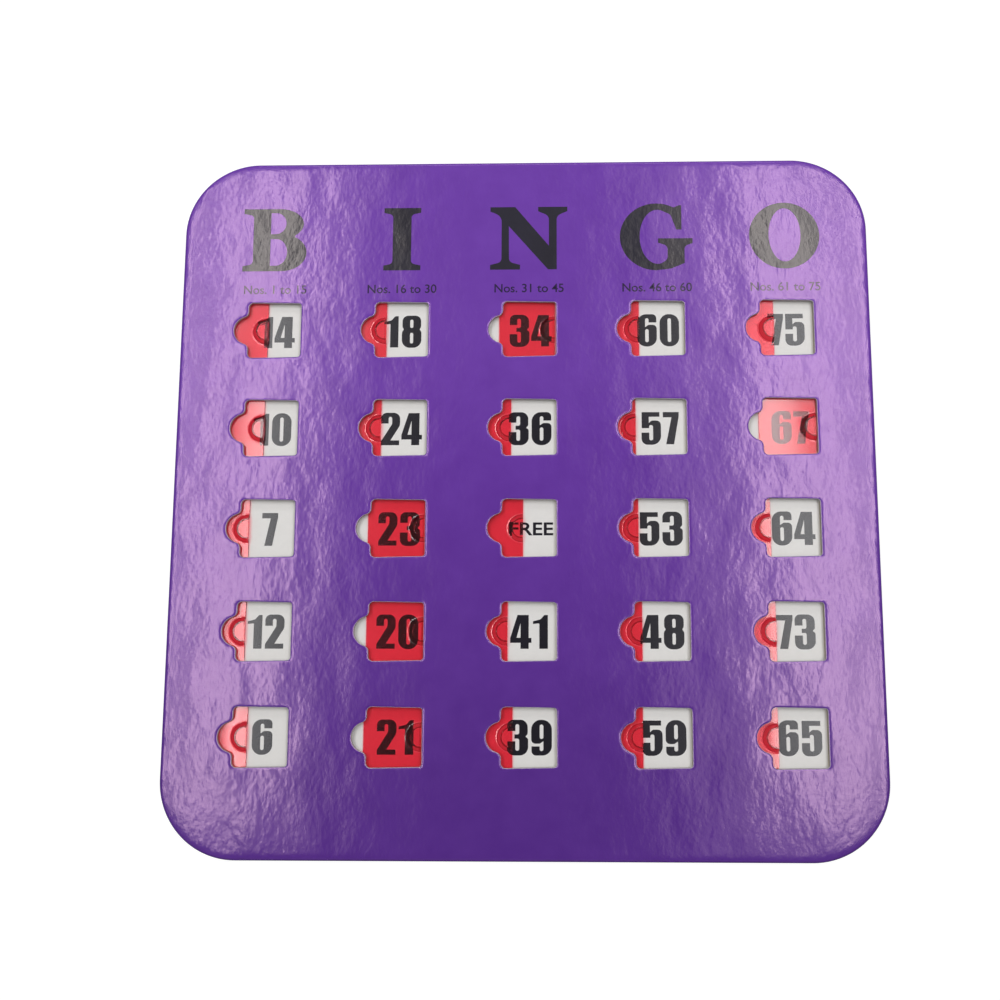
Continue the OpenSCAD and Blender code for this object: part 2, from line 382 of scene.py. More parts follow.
def card_ring(inset, z):
    """The card's outline drawn in, at a height."""
    made = []
    straight = HALF_SIDE - CORNER_R
    for quarter in range(4):
        turn = math.radians(90 * quarter)
        cx = straight * (1 if quarter in (0, 3) else -1)
        cy = straight * (1 if quarter in (0, 1) else -1)
        for i in range(CORNER_STEPS + 1):
            a = turn + math.pi / 2 * i / CORNER_STEPS
            reach = CORNER_R - inset
            made.append((cx + reach * math.cos(a), cy + reach * math.sin(a), z))
    return made


# Mesh making


def data_of(work):
    """The mesh of a bmesh, which is freed."""
    data = bpy.data.meshes.new("mesh")
    work.to_mesh(data)
    work.free()
    return data


def evaluated_data(holder):
    """The mesh that a helper object comes to with its modifiers. The object is removed."""
    bpy.context.scene.collection.objects.link(holder)
    depsgraph = bpy.context.evaluated_depsgraph_get()
    data = bpy.data.meshes.new_from_object(holder.evaluated_get(depsgraph))
    bpy.data.objects.remove(holder)
    return data


class Shell:
    """Collects rings and faces of one closed mesh."""

    def __init__(self):
        self.mesh = bmesh.new()

    def ring(self, points):
        return [self.mesh.verts.new(Vector(p) * MM) for p in points]

    def bridge(self, low, high, closed=True):
        """Quads between two rings of as many points, facing out when high lies above low."""
        count = len(low)
        for i in range(count if closed else count - 1):
            k = (i + 1) % count
            self.mesh.faces.new((low[i], low[k], high[k], high[i]))

    def fill(self, rings, up):
        """Fills the flat area between closed rings."""
        edges = []
        for ring in rings:
            for a, b in zip(ring, ring[1:] + ring[:1]):
                edges.append(self.mesh.edges.get((a, b)) or self.mesh.edges.new((a, b)))
        made = bmesh.ops.triangle_fill(self.mesh, use_beauty=True, edges=edges)
        faces = [f for f in made["geom"] if isinstance(f, bmesh.types.BMFace)]
        for face in faces:
            face.normal_update()
            if (face.normal.z > 0) != up:
                face.normal_flip()


def finish_piece(name, data, material, body, smooth_angle=None):
    """Puts a mesh in the scene as a piece that rides on a body."""
    data.name = name
    data.materials.clear()
    data.materials.append(material)
    if smooth_angle:
        data.shade_smooth()
        data.set_sharp_from_angle(angle=math.radians(smooth_angle))
    piece = bpy.data.objects.new(name, data)
    bpy.context.scene.collection.objects.link(piece)
    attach(piece, body)
    return piece


# Printed cover

# The paper lies a little below the construction's top, which leaves room for the ink on it
INK_ROOM = 0.015
SKIN = CARD_TOP - INK_ROOM
# Lip round a window, from the cut edge outwards: distance, drop below the skin, share of bare paper
LIP = [
    (0.0, SKIN - BOARD_TOP, 1.0), (0.0, 0.23, 1.0), (0.04, 0.19, 1.0), (0.09, 0.155, 0.7),
    (0.15, 0.122, 0.25), (0.24, 0.088, 0.0), (0.34, 0.055, 0.0), (0.46, 0.034, 0.0),
    (0.6, 0.018, 0.0), (0.75, 0.007, 0.0), (0.95, 0.002, 0.0), (1.2, 0.0, 0.0), (1.3, 0.0, 0.0)]

# Swell of the paper beside the rim: where it starts, how far it falls, and how late it does so
SWELL_W = 3.2
SWELL_DROP = 0.05
SWELL_POWER = 2.6
SWELL_STEPS = 8
# Flat margin of the top inside the swell, height of the rolled edge, first flat stretch of the hem
FLAT_MARGIN = 0.4
ROLL_H = 1.0
HEM_START = 3.0
# Edges of the cover that turn by less than this, in degrees, are shaded smooth
SMOOTH_BELOW = 50


def rim_profile():
    """The cover's section round the rim, as inset and height, from the top skin to the inner skin."""
    points = [(SWELL_W + FLAT_MARGIN, SKIN), (SWELL_W, SKIN)]
    for i in range(1, SWELL_STEPS + 1):
        share = i / SWELL_STEPS
        inset = SWELL_W + (EDGE_R - SWELL_W) * share
        points.append((inset, SKIN - SWELL_DROP * share ** SWELL_POWER))
    for p, _ in arc((0, 0), 1, 90, 0, 12)[1:]:
        points.append((EDGE_R * (1 - p.x), SKIN - SWELL_DROP - ROLL_H * (1 - p.y)))
    for p, _ in arc((0, 0), 1, 0, -90, 8):
        points.append((FOLD_R * (1 - p.x), HEM_Z + FOLD_R * (1 + p.y)))
    points += [(HEM_START, HEM_Z), (HEM_W, HEM_Z), (HEM_W, HEM_Z + COVER_T)]
    inner_fold = FOLD_R - COVER_T
    for p, _ in arc((0, 0), 1, -90, 0, 4):
        points.append((COVER_T + inner_fold * (1 - p.x), HEM_Z + COVER_T + inner_fold * (1 + p.y)))
    inner_edge = EDGE_R - COVER_T
    for p, _ in arc((0, 0), 1, 0, 90, 6):
        points.append((COVER_T + inner_edge * (1 - p.x), BOARD_TOP - inner_edge * (1 - p.y)))
    return points


def printed_cover():
    """The printed paper: flat top, pressed lips round the windows, rolled rim, skirt and hem."""
    shell = Shell()
    outline = window_outline()
    cut_edge = shell.mesh.verts.layers.float.new("cut_edge")
    top_rings, inner_rings = [], []
    for column in range(5):
        for row in range(5):
            rings = []
            for out, drop, bare in LIP:
                ring = shell.ring(window_ring(outline, column, row, out, SKIN - drop))
                for vertex in ring:
                    vertex[cut_edge] = bare
                rings.append(ring)
            for inner, outer in zip(rings, rings[1:]):
                shell.bridge(outer, inner)
            top_rings.append(rings[-1])
            inner_rings.append(rings[0])
    rim = [shell.ring(card_ring(inset, z)) for inset, z in rim_profile()]
    for upper, lower in zip(rim, rim[1:]):
        shell.bridge(lower, upper)
    shell.fill([rim[0]] + top_rings, True)
    shell.fill([rim[-1]] + inner_rings, False)
    data = data_of(shell.mesh)
    piece = finish_piece("printed_cover", data, purple_print, "card", SMOOTH_BELOW)
    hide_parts("cover_wrap")


printed_cover()


# Torn paper flecks. Dull die edges leave white fibres on the right and lower sides of the windows.
FLECKS = {"Spacing": 0.4 * MM, "Share kept": 0.4, "Longest fleck": 0.3 * MM, "Seed": 7}
FLECK_OUT = 0.16
FLECK_DROP = 0.13
# They lie on edges that face right, and on edges that face down this far below the window's middle
FLECK_FACING = 0.5
FLECK_BELOW = 8
# Least and greatest share of the longest fleck's size, along a fleck's three directions
FLECK_SHARES = (0.35, 0.2, 0.15), (1.0, 0.45, 0.3)
FLECK_TURNS = (0.5, 0.5, 6.3)


def fleck_tree():
    """Geometry Nodes that scatter small chips of paper along a path."""
    tree = bpy.data.node_groups.new("torn flecks along a path", "GeometryNodeTree")
    tree.interface.new_socket("Path", in_out="INPUT", socket_type="NodeSocketGeometry")
    for label in ("Spacing", "Share kept", "Longest fleck"):
        tree.interface.new_socket(label, in_out="INPUT", socket_type="NodeSocketFloat")
    tree.interface.new_socket("Seed", in_out="INPUT", socket_type="NodeSocketInt")
    tree.interface.new_socket("Flecks", in_out="OUTPUT", socket_type="NodeSocketGeometry")
    given = add_node(tree, "NodeGroupInput").outputs
    path = add_node(tree, "GeometryNodeMeshToCurve", Mesh=given["Path"]).outputs["Curve"]
    points = add_node(tree, "GeometryNodeCurveToPoints", {"mode": "LENGTH"},
                      Curve=path, Length=given["Spacing"])
    kept = add_node(tree, "FunctionNodeRandomValue", {"data_type": "BOOLEAN"},
                    Probability=given["Share kept"], Seed=given["Seed"])
    turns = {"data_type": "FLOAT_VECTOR", 1: FLECK_TURNS}
    turn = add_node(tree, "FunctionNodeRandomValue", turns, Seed=given["Seed"])
    shares = {"data_type": "FLOAT_VECTOR", 0: FLECK_SHARES[0], 1: FLECK_SHARES[1]}
    size = add_node(tree, "FunctionNodeRandomValue", shares, Seed=given["Seed"])
    radius = add_node(tree, "ShaderNodeMath", {"operation": "MULTIPLY", 1: 0.5},
                      i0=given["Longest fleck"])
    chip = add_node(tree, "GeometryNodeMeshIcoSphere", {"Subdivisions": 1}, Radius=radius.outputs[0])
    placed = add_node(tree, "GeometryNodeInstanceOnPoints", Points=points.outputs["Points"],
                      Selection=kept.outputs[3], Instance=chip.outputs["Mesh"],
                      Rotation=turn.outputs[0], Scale=size.outputs[0])
    solid = add_node(tree, "GeometryNodeRealizeInstances", Geometry=placed.outputs["Instances"])
    paper = add_node(tree, "GeometryNodeSetMaterial", {"Material": fibre_paper},
                     Geometry=solid.outputs["Geometry"])
    add_node(tree, "NodeGroupOutput", Flecks=paper.outputs["Geometry"])
    return tree


def torn_flecks():
    """White flecks along the right and lower edges of the windows."""
    outline = []
    for point, away in window_outline():
        faces_down = away.y < -FLECK_FACING and point.y < -FLECK_BELOW
        if away.x > FLECK_FACING or faces_down:
            outline.append((point, away))
    upper_count = sum(point.y > 0 for point, _ in outline)
    path = bmesh.new()
    for column in range(5):
        for row in range(5):
            ring = window_ring(outline, column, row, FLECK_OUT, SKIN - FLECK_DROP)
            verts = [path.verts.new(Vector(p) * MM) for p in ring]
            for i, vertex in enumerate(verts):
                if i + 1 != upper_count:
                    path.edges.new((vertex, verts[(i + 1) % len(verts)]))
    holder = bpy.data.objects.new("window edges", data_of(path))
    scatter = holder.modifiers.new("torn flecks", "NODES")
    scatter.node_group = fleck_tree()
    for socket in scatter.node_group.interface.items_tree:
        if socket.in_out == "INPUT" and socket.name in FLECKS:
            scatter[socket.identifier] = FLECKS[socket.name]
    finish_piece("torn_flecks", evaluated_data(holder), fibre_paper, "card")


torn_flecks()


# Lettering. An outline item is a point (x, y), a rounded corner (x, y, radius) or
# part of an ellipse (centre x, centre y, radius x, radius y, start, end in degrees).

# Steps of a rounded corner, degrees in one step of an ellipse, distance at which points are merged
ROUND_STEPS = 8
ELLIPSE_STEP = 7
MERGE_DISTANCE = 0.0005


def expand_outline(items):
    """The points of an outline, with its rounded corners and ellipse parts drawn out."""
    points = []
    for item in items:
        if len(item) == 6:
            cx, cy, rx, ry, start, end = item
            steps = max(4, int(abs(end - start) / ELLIPSE_STEP))
            for i in range(steps + 1):
                a = math.radians(start + (end - start) * i / steps)
                points.append((Vector((cx + rx * math.cos(a), cy + ry * math.sin(a))), 0))
        else:
            points.append((Vector(item[:2]), item[2] if len(item) == 3 else 0))
    made = []
    for i, (corner, radius) in enumerate(points):
        if not radius:
            made.append(corner)
            continue
        before = points[i - 1][0] - corner
        after = points[(i + 1) % len(points)][0] - corner
        half = before.angle(after) / 2
        reach = min(radius / math.tan(half), before.length * 0.5, after.length * 0.5)
        start = corner + before.normalized() * reach
        end = corner + after.normalized() * reach
        for k in range(ROUND_STEPS + 1):
            t = k / ROUND_STEPS
            weight = math.cos(math.pi / 2 - half)
            a, b, c = (1 - t) ** 2, 2 * weight * t * (1 - t), t ** 2
            made.append((start * a + corner * b + end * c) / (a + b + c))
    return made


def ink_mesh(contours, z, thick):
    """A thin closed prism of ink with the given contours, holes included."""
    curve = bpy.data.curves.new("ink", "CURVE")
    curve.dimensions = "2D"
    curve.fill_mode = "BOTH"
    curve.extrude = thick / 2 * MM
    for points in contours:
        spline = curve.splines.new("POLY")
        spline.points.add(len(points) - 1)
        for target, point in zip(spline.points, points):
            target.co = (point.x * MM, point.y * MM, 0, 1)
        spline.use_cyclic_u = True
    return curve_to_mesh(curve, z)


def curve_to_mesh(curve, z, place=(0, 0), stretch=1.0):
    """A flat curve or text as a closed mesh at a height, stretched along x and moved to a place."""
    work = bmesh.new()
    work.from_mesh(evaluated_data(bpy.data.objects.new("flat curve", curve)))
    for vertex in work.verts:
        vertex.co.x = vertex.co.x * stretch + place[0] * MM
        vertex.co.y += place[1] * MM
        vertex.co.z += z * MM
    bmesh.ops.remove_doubles(work, verts=work.verts, dist=MERGE_DISTANCE * MM)
    bmesh.ops.recalc_face_normals(work, faces=work.faces)
    return data_of(work)


# Heading: bold capitals with bracketed slab serifs. Each has the place of its left edge on the card,
# and its outlines in millimetres from its lower left corner.
HEADING = {
    "B": (-97.1, [
        [(0, 0), (12.8, 0), (13.6, 6.6, 8.5, 6.6, -90, 68), (18.0, 12.3),
         (12.4, 17.0, 8.5, 5.5, -48, 90), (0, 22.5), (0, 20.8), (3.4, 20.1, 1.4), (3.5, 2.6, 1.4),
         (0, 1.9)],
        [(9.5, 21.0), (11.2, 17.2, 3.6, 3.8, 90, -90), (9.5, 13.4)],
        [(9.5, 11.6), (11.4, 6.8, 3.9, 4.8, 90, -90), (9.5, 2.0)],
    ]),
    "I": (-48.3, [[
        (0, 0), (12.8, 0), (12.8, 1.75), (9.5, 2.45, 1.4), (9.5, 20.05, 1.4), (12.8, 20.75),
        (12.8, 22.5), (0, 22.5), (0, 20.75), (3.1, 20.05, 1.4), (3.1, 2.45, 1.4), (0, 1.75)]]),
    "N": (-11.5, [[
        (0, 0), (10.3, 0), (10.3, 1.7), (6.5, 2.7, 1.8), (6.4, 15.6), (19.9, 0), (22.9, 0),
        (22.9, 19.3, 2.2), (26.6, 20.9), (26.6, 22.5), (16.5, 22.5), (16.5, 20.9),
        (20.2, 19.3, 2.2), (20.2, 8.5), (8.6, 22.5), (0, 22.5), (0, 20.9), (3.9, 19.3, 3.4),
        (3.9, 2.7, 1.8), (0, 1.7)]]),
    "G": (33.1, [[
        (12.5, 11.4, 12.5, 12.0, 68, 270), (17.5, 0.0, 2), (22.1, 1.9), (22.1, 8.0, 1.6),
        (24.9, 9.0), (24.9, 10.8), (13.1, 10.8), (13.1, 9.2), (16.3, 8.2, 1.8), (16.3, 3.2, 2.2),
        (12.9, 11.4, 6.1, 9.7, -78, -282), (17.4, 19.4, 2), (19.4, 13.9), (21.2, 13.9),
        (21.2, 22.7), (20.4, 22.7), (18.6, 21.9, 0.8)]]),
    "O": (77.3, [
        [(12.0, 11.5, 12.0, 11.8, 0, 353)],
        [(12.15, 11.75, 5.45, 9.5, 0, 353)],
    ]),
}
HEADING_Y = 78.5
HEADING_INK_T = 0.016


def heading_letters():
    """The five capitals, printed over the columns."""
    contours = []
    for left, outlines in HEADING.values():
        for outline in outlines:
            contours.append([p + Vector((left, HEADING_Y)) for p in expand_outline(outline)])
    data = ink_mesh(contours, SKIN, HEADING_INK_T)
    finish_piece("heading_letters", data, heading_ink, "card")


heading_letters()


# Numbers: heavy narrow figures. Each has its width, the space before and after it, and its outlines
# in millimetres from its lower left corner on the base line.
FIGURE_H = 11.05
FIGURES = {
    "0": (6.6, 0.5, 0.5, [
        [(0, -0.15, 3.1), (6.6, -0.15, 3.1), (6.6, 11.2, 3.1), (0, 11.2, 3.1)],
        [(2.7, 1.35, 0.6), (3.9, 1.35, 0.6), (3.9, 9.75, 0.6), (2.7, 9.75, 0.6)]]),
    "1": (4.9, 0.3, 0.6, [
        [(2.1, 0), (4.9, 0), (4.9, 11.05), (3.7, 11.05, 0.8), (2.5, 9.6, 1.2), (0, 9.0), (0, 8.1),
         (2.1, 8.3, 0.2)]]),
    "2": (6.4, 0.4, 0.4, [
        [(0.1, 0), (6.2, 0), (6.2, 1.65), (3.2, 1.65), (6.4, 6.8, 3.0), (6.4, 11.2, 3.0),
         (0, 11.2, 3.0), (0, 7.5), (2.5, 7.5), (2.5, 9.8, 0.6), (3.7, 9.8, 0.6), (3.7, 7.3, 1.6),
         (0.1, 1.5, 0.4)]]),
    "3": (6.75, 0.5, 0.5, [
        [(0, -0.15, 3.1), (6.75, -0.15, 3.1), (6.75, 5.3, 1.5), (5.7, 5.85, 0.3), (6.6, 6.5, 1.3),
         (6.6, 11.2, 3.0), (0.05, 11.2, 3.0), (0.05, 7.6), (2.6, 7.6), (2.6, 9.8, 0.6),
         (3.85, 9.8, 0.6), (3.85, 6.55, 0.6), (2.3, 6.55), (2.3, 5.2), (3.85, 5.2, 0.6),
         (3.85, 1.35, 0.6), (2.6, 1.35, 0.6), (2.6, 4.35), (0, 4.35)]]),
    "4": (7.0, 0.1, 0.2, [
        [(3.4, 0), (6.1, 0), (6.1, 1.95), (7.0, 1.95), (7.0, 3.55), (6.1, 3.55), (6.1, 11.05),
         (2.4, 11.05), (0, 3.5), (0, 1.95), (3.4, 1.95)],
        [(2.1, 3.6), (3.4, 3.6), (3.4, 8.4)]]),
    "5": (6.55, 0.5, 0.5, [
        [(0, -0.15, 3.0), (6.55, -0.15, 3.0), (6.55, 8.15, 2.6), (3.4, 8.15, 1.0), (2.5, 7.3),
         (2.5, 9.45), (6.1, 9.45), (6.1, 11.05), (0.1, 11.05), (0.1, 5.55), (2.6, 5.55),
         (2.6, 6.6, 0.6), (3.9, 6.6, 0.6), (3.9, 1.35, 0.6), (2.6, 1.35, 0.6), (2.6, 4.0),
         (0, 4.0)]]),
    "6": (6.7, 0.5, 0.5, [
        [(0, -0.15, 3.1), (6.7, -0.15, 3.1), (6.7, 7.45, 2.5), (3.9, 7.45, 0.9), (2.75, 6.65),
         (2.75, 9.8, 0.6), (3.95, 9.8, 0.6), (3.95, 8.3), (6.6, 8.3), (6.6, 11.2, 3.0),
         (0, 11.2, 3.1)],
        [(2.75, 1.35, 0.6), (3.95, 1.35, 0.6), (3.95, 5.95, 0.6), (2.75, 5.95, 0.6)]]),
    "7": (5.35, 0.2, 0.1, [
        [(1.0, 0), (3.65, 0), (5.35, 9.6, 0.5), (5.35, 11.05), (0, 11.05), (0, 9.25), (2.9, 9.25)]]),
    "8": (6.7, 0.6, 0.5, [
        [(0, -0.15, 3.1), (6.7, -0.15, 3.1), (6.7, 5.4, 1.6), (6.05, 6.35, 0.3), (6.55, 7.2, 1.4),
         (6.55, 11.2, 3.0), (0.15, 11.2, 3.0), (0.15, 7.2, 1.4), (0.65, 6.35, 0.3), (0, 5.4, 1.6)],
        [(2.8, 1.35, 0.55), (3.9, 1.35, 0.55), (3.9, 5.15, 0.55), (2.8, 5.15, 0.55)],
        [(2.8, 6.85, 0.55), (3.9, 6.85, 0.55), (3.9, 9.8, 0.55), (2.8, 9.8, 0.55)]]),
}
# A nine is a six turned upside down
FIGURES["9"] = (6.7, 0.5, 0.5, [
    [(6.7 - item[0], FIGURE_H - item[1], *item[2:]) for item in outline] for outline in FIGURES["6"][3]])

# The numbers behind the windows, from the top row down. The middle space has a word instead.
NUMBERS = [
    [14, 18, 34, 60, 75],
    [10, 24, 36, 57, 67],
    [7, 23, None, 53, 64],
    [12, 20, 41, 48, 73],
    [6, 21, 39, 59, 65],
]
NUMBER_MIDDLE = (-8.85, -0.15)
INK_T = 0.02


def window_numbers():
    """The numbers on the sheet, each in the middle of its window."""
    contours = []
    for row, numbers in enumerate(NUMBERS):
        for column, number in enumerate(numbers):
            if number is None:
                continue
            figures = [FIGURES[c] for c in str(number)]
            width = sum(w + before + after for w, before, after, _ in figures)
            x = WINDOW_X[column] + NUMBER_MIDDLE[0] - width / 2
            y = WINDOW_Y[row] + NUMBER_MIDDLE[1] - FIGURE_H / 2
            for figure_w, before, after, outlines in figures:
                x += before
                for outline in outlines:
                    contours.append([p + Vector((x, y)) for p in expand_outline(outline)])
                x += figure_w + after
    data = ink_mesh(contours, SHEET_TOP + INK_T / 2, INK_T)
    finish_piece("window_numbers", data, number_ink, "card")


window_numbers()


# Share of a letter's full size that a capital takes
CAPITAL_SHARE = 0.73
# Captions over the columns, and the word on the middle space
CAPTION_H = 3.1
CAPTION_W = [21.6, 23.7, 23.7, 23.7, 23.7]
CAPTION_MIDDLE_X = -9.25
CAPTION_Y = 72.0
CAPTION_INK_T = 0.012
CAPTION_BOLDER = 0.05
WORD_H = 4.4
WORD_W = 14.5
WORD_MIDDLE_X = -8.5
WORD_BOLDER = 0.12


def set_words(text, height, width, middle, z, thick, bolder):
    """Plain sans-serif words of a given capital height and overall width, about a middle point."""
    curve = bpy.data.curves.new("words", "FONT")
    curve.body = text
    curve.align_x = "CENTER"
    curve.size = height / CAPITAL_SHARE * MM
    curve.offset = bolder * MM
    curve.extrude = thick / 2 * MM
    curve.fill_mode = "BOTH"
    probe = bpy.data.objects.new("probe", curve)
    bpy.context.scene.collection.objects.link(probe)
    bpy.context.view_layer.update()
    stretch = width * MM / probe.dimensions.x
    bpy.data.objects.remove(probe)
    return curve_to_mesh(curve, z, (middle[0], middle[1] - height / 2), stretch)


def column_captions():
    """The small line over each column that gives its range of numbers."""
    work = bmesh.new()
    for column in range(5):
        words = f"Nos. {15 * column + 1} to {15 * column + 15}"
        middle = (WINDOW_X[column] + CAPTION_MIDDLE_X, CAPTION_Y)
        work.from_mesh(set_words(words, CAPTION_H, CAPTION_W[column], middle, SKIN, CAPTION_INK_T,
                                 CAPTION_BOLDER))
    finish_piece("column_captions", data_of(work), caption_ink, "card")


def free_space_word():
    """The word on the middle space, which has no number."""
    middle = (WINDOW_X[2] + WORD_MIDDLE_X, WINDOW_Y[2])
    data = set_words("FREE", WORD_H, WORD_W, middle, SHEET_TOP + INK_T / 2, INK_T, WORD_BOLDER)
    finish_piece("free_space_word", data, number_ink, "card")


column_captions()
free_space_word()


# Shutters

GRIP_STEPS = 40
# Rings of the three stretches from the plate's face into the grip's side
FOOT_BEND_STEPS = 2
FOOT_RING_STEPS = 3
FOOT_FILLET_STEPS = 4
# Shares of the way up the grip's side at which its rings lie and its painted shade changes
FLANK_SHARES = (0.2, 0.8)
# Rounding of the moulded edges, and the turns, in degrees, from which an edge is rounded or sharp
MOULD_EDGE_R = 0.09
ROUNDED_ABOVE = 28
SHARP_ABOVE = 30
# Least share of a face's normal along one axis at which the face counts as level or upright
SQUARE_FROM = 0.9999


def grip_ring(shell, radius, z):
    """Half a ring round the grip's centre, with a straight run to the front edge at each end."""
    turn = [p for p, _ in arc((-GRIP_INSET, 0), radius, 90, 270, GRIP_STEPS)]
    points = [Vector((0, radius))] + turn + [Vector((0, -radius))]
    return shell.ring([(p.x, p.y, z) for p in points])


def hollow_ring(shell, radius, z):
    """Half a ring of the hollow under the grip, closed by the front wall."""
    overlap = math.degrees(math.asin((GRIP_WALL - GRIP_INSET) / radius))
    turn = arc((-GRIP_INSET, 0), radius, 90 + overlap, 270 - overlap, GRIP_STEPS)
    return shell.ring([(p.x, p.y, z) for p, _ in turn])


def foot_fillet():
    """Radius and height of the rings from the plate's face into the grip's sloped side.

    A narrow, barely sloped ring comes first. It catches the light as a fine bright line, and a painted
    highlight in the plastic's colour makes the line paler still.
    """
    lean = math.atan2(GRIP_H, GRIP_R - CREST_R)
    run, rise = [0.0], [0.0]

    def step(along, up):
        run.append(run[-1] + along)
        rise.append(rise[-1] + up)

    def bend(radius, before, after, steps):
        for i in range(steps):
            a = before + (after - before) * i / steps
            b = before + (after - before) * (i + 1) / steps
            step(radius * (math.sin(b) - math.sin(a)), radius * (math.cos(a) - math.cos(b)))

    bend(FOOT_BLEND_R, 0, FOOT_RING_TURN, FOOT_BEND_STEPS)
    for _ in range(FOOT_RING_STEPS):
        width = FOOT_RING_W / FOOT_RING_STEPS
        step(width, width * math.tan(FOOT_RING_TURN))
    bend(FOOT_FILLET_R, FOOT_RING_TURN, lean, FOOT_FILLET_STEPS)
    last_r = GRIP_R - rise[-1] / math.tan(lean)
    return [(last_r + run[-1] - x, PLATE_T + z) for x, z in zip(run, rise)]


def grip_flank():
    """Radius and height of the rings on the grip's sloped side, between its foot and its crest."""
    foot_r, foot_z = foot_fillet()[-1]
    run, rise = CREST_R - foot_r, PLATE_T + GRIP_H - foot_z
    return [(foot_r + run * share, foot_z + rise * share) for share in FLANK_SHARES]


def plate_points():
    """The plate's outline, anticlockwise from the front edge's upper end."""
    points = []
    reach_y = PLATE_H / 2 - PLATE_CORNER_R
    for cx, cy, start in ((-PLATE_CORNER_R, reach_y, 0), (PLATE_CORNER_R - PLATE_LEN, reach_y, 90),
                          (PLATE_CORNER_R - PLATE_LEN, -reach_y, 180), (-PLATE_CORNER_R, -reach_y, 270)):
        points += [p for p, _ in arc((cx, cy), PLATE_CORNER_R, start, start + 90, 5)]
    return points


def shutter_mesh():
    """One moulded shutter at the origin: plate, hollow grip with sloped side, crest and pad."""
    shell = Shell()
    # Share of painted highlight and painted shade on each vertex of the grip
    depth = shell.mesh.verts.layers.float.new("painted_light_share")
    faces = shell.mesh.faces
    outline = plate_points()
    low = shell.ring([(p.x, p.y, 0) for p in outline])
    high = shell.ring([(p.x, p.y, PLATE_T) for p in outline])
    top = PLATE_T + GRIP_H
    pad_z = top - PAD_DEPTH
    feet = [grip_ring(shell, radius, z) for radius, z in foot_fillet()]
    flank = [grip_ring(shell, radius, z) for radius, z in grip_flank()]
    crest = grip_ring(shell, CREST_R, top)
    brim = grip_ring(shell, CREST_R - CREST_W, top)
    pad = grip_ring(shell, CREST_R - CREST_W, pad_z)
    shell.bridge(low, high, closed=False)
    sections = feet + flank + [crest, brim, pad]
    for outer, inner in zip(sections, sections[1:]):
        shell.bridge(outer, inner, closed=False)
    faces.new(pad)
    faces.new(high + list(reversed(feet[0])))
    front_up = [low[-1], low[0], high[0]] + [section[0] for section in sections]
    faces.new(front_up + [section[-1] for section in reversed(sections)] + [high[-1]])
    ceiling_z = pad_z - GRIP_WALL
    foot_r = GRIP_R - GRIP_WALL
    slope = (GRIP_R - CREST_R) / GRIP_H
    mouth = hollow_ring(shell, foot_r, 0)
    ceiling = hollow_ring(shell, foot_r - slope * ceiling_z, ceiling_z)
    shell.bridge(ceiling, mouth)
    faces.new(list(reversed(ceiling)))
    shell.fill([low, mouth], False)
    # The plate keeps its own red; the foot line gets a painted highlight, the sloped side and its bends
    # painted shade.
    for vertex in shell.mesh.verts:
        vertex[depth] = UNPAINTED_SHARE
    pale_from = FOOT_BEND_STEPS + 1
    pale = feet[pale_from : pale_from + FOOT_RING_STEPS]
    bends = [feet[-2], feet[-1], crest, brim]
    for share, rings in ((0.0, pale), (FLANK_PAINTED_SHADE, flank), (1.0, bends)):
        for ring in rings:
            for vertex in ring:
                vertex[depth] = share
    bmesh.ops.recalc_face_normals(shell.mesh, faces=shell.mesh.faces)
    return rounded(data_of(shell.mesh))


def rounded(data):
    """The mesh with its sharp edges rounded off, as a mould leaves them, and shaded smooth.

    The level faces, and the upright ones along the plate's sides, stay flat.
    """
    holder = bpy.data.objects.new("moulded shutter", data)
    bevel = holder.modifiers.new("rounded edges", "BEVEL")
    bevel.width = MOULD_EDGE_R * MM
    bevel.segments = 3
    bevel.limit_method = "ANGLE"
    bevel.angle_limit = math.radians(ROUNDED_ABOVE)
    made = evaluated_data(holder)
    made.set_sharp_from_angle(angle=math.radians(SHARP_ABOVE))
    for polygon in made.polygons:
        polygon.use_smooth = max(abs(c) for c in polygon.normal) < SQUARE_FROM
    return made


# Lean of the plates' free front ends in degrees, by column, and for single plates that lie otherwise.
# Only the shading leans, through a bump.
LEAN = {"b": 0.8, "o": -0.9}
OWN_LEAN = {"shutter_b1": -2.4, "shutter_b5": 1.5, "shutter_o1": 0.9, "shutter_o2": -1.2,
            "shutter_o3": -1.6, "shutter_o4": -1.7, "shutter_o5": -1.9}
# Change of lean along single plates, in degrees for each millimetre, in the shading only
BOW = {"shutter_b5": 0.33, "shutter_o3": -0.33, "shutter_o4": -0.33, "shutter_o5": -0.4}
LEAN_SPREAD = (0.7, 1.3)
LEAN_SEED = 5


def shutters():
    """All shutters, each at its own node's place."""
    blank = shutter_mesh()
    chance = random.Random(LEAN_SEED)
    for letter in COLUMNS:
        for row in ROWS:
            name = f"shutter_{letter}{row}"
            low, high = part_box(name)
            data = blank.copy()
            shift = Vector((high.x, (low.y + high.y) / 2, low.z))
            usual = LEAN.get(letter, 0.0) * chance.uniform(*LEAN_SPREAD)
            lean = math.radians(OWN_LEAN.get(name, usual))
            along = data.attributes.new("along", "FLOAT", "POINT")
            along.data.foreach_set("value", [vertex.co.x / MM for vertex in data.vertices])
            for label, value in (("lean", lean), ("half_bow", math.radians(BOW.get(name, 0.0)) / 2)):
                values = data.attributes.new(label, "FLOAT", "POINT")
                values.data.foreach_set("value", [value] * len(data.vertices))
            for vertex in data.vertices:
                vertex.co += shift
            piece = finish_piece(f"moulded_{name}", data, shutter_plastic, name)
            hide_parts(name)


shutters()


# Construction pieces that show as they are

NODE_FINISH = {"window_board": window_edge, "number_sheet": sheet_paper, "back_board": back_stock,
               "back_liner": liner_paper}
for name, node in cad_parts.items():
    finish = NODE_FINISH.get(name) or (spacer_stock if name.startswith("spacer_") else None)
    if finish:
        for i in range(len(node.data.materials)):
            node.data.materials[i] = finish


# Studio

FLOOR_REACH = 3.0


